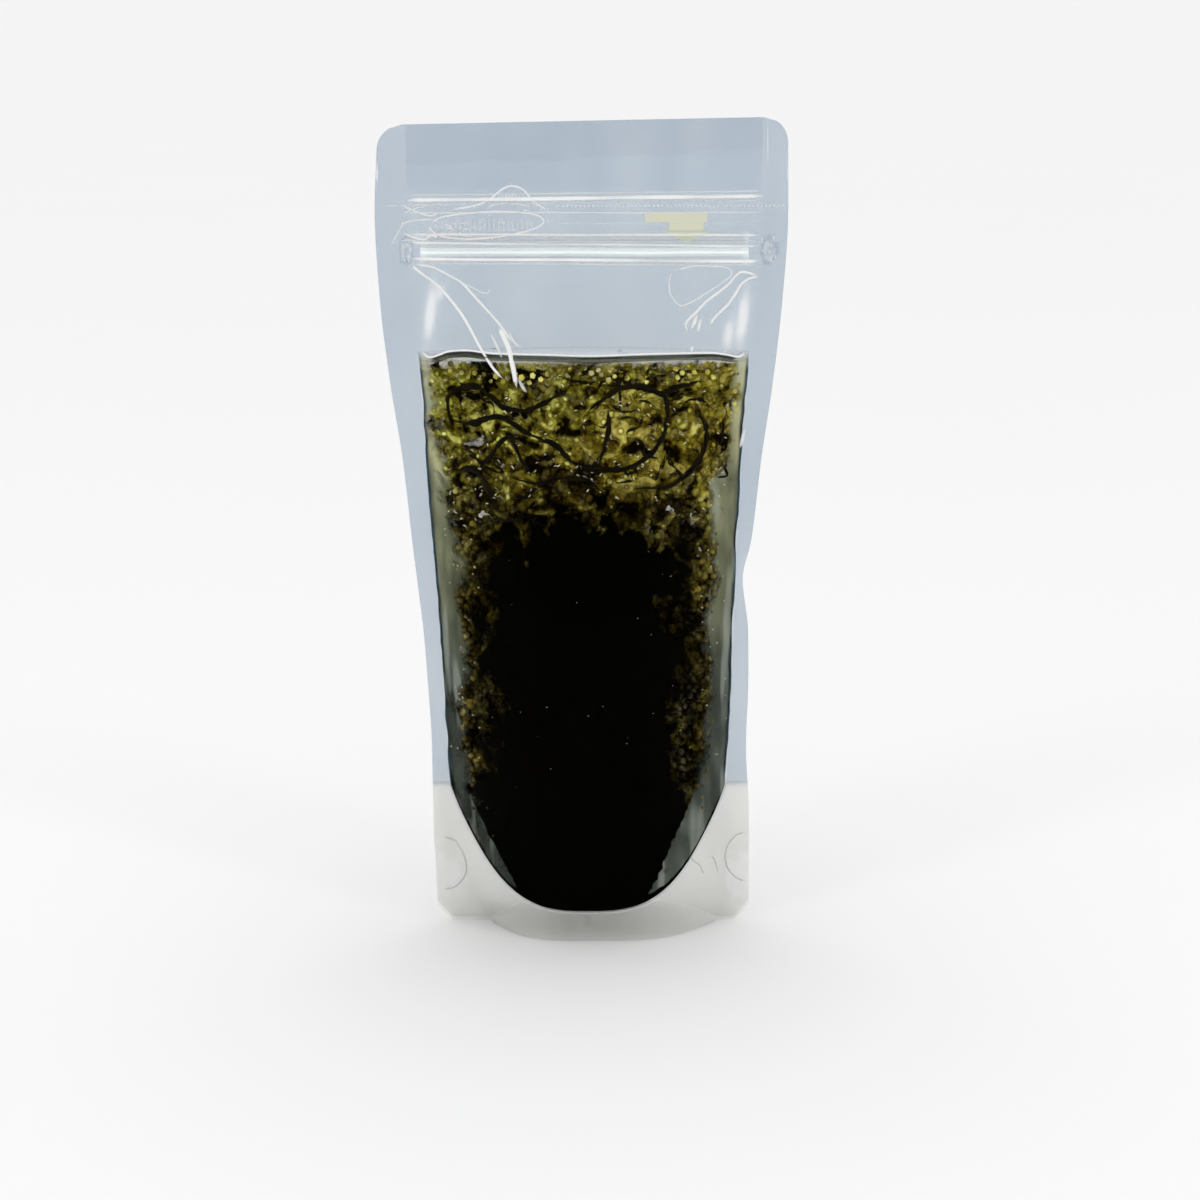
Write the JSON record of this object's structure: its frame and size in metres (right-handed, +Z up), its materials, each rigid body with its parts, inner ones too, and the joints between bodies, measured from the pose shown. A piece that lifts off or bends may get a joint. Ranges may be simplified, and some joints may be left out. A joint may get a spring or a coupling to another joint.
{
  "type": "pouch of sea grapes in brine",
  "caption": "Sea grapes packed in brine in a clear stand-up pouch with a closed press zip and a heat-sealed top, standing on its gusseted base",
  "frame": {"origin": "centre of the bounding box at the level that the pouch stands on", "axes": "+Z up along the pouch's height, +X along its width to the right as seen from the front, -Y towards the viewer"},
  "size_m": [0.1006, 0.0474, 0.2039],
  "materials": {
    "clear_film": "clear, soft, slightly blue laminated film, heat-sealed at its edges",
    "zip_plastic": "milky soft plastic",
    "salt_water": "clear grey-green brine",
    "seaweed": "wet translucent green berries on dark stems"
  },
  "bodies": {
    "root": {"film_front": "clear_film", "film_back": "clear_film", "film_gusset": "clear_film", "zip_tongue_tape": "zip_plastic", "zip_channel_tape": "zip_plastic", "brine": "salt_water", "sea_grape_frond_01": "seaweed", "sea_grape_frond_02": "seaweed", "sea_grape_frond_03": "seaweed", "sea_grape_frond_04": "seaweed", "sea_grape_frond_05": "seaweed", "sea_grape_frond_06": "seaweed", "sea_grape_frond_07": "seaweed", "sea_grape_frond_08": "seaweed", "sea_grape_frond_09": "seaweed", "sea_grape_frond_10": "seaweed", "sea_grape_frond_11": "seaweed", "sea_grape_frond_12": "seaweed", "sea_grape_frond_13": "seaweed", "sea_grape_frond_14": "seaweed", "sea_grape_frond_15": "seaweed"}
  },
  "joints": []
}
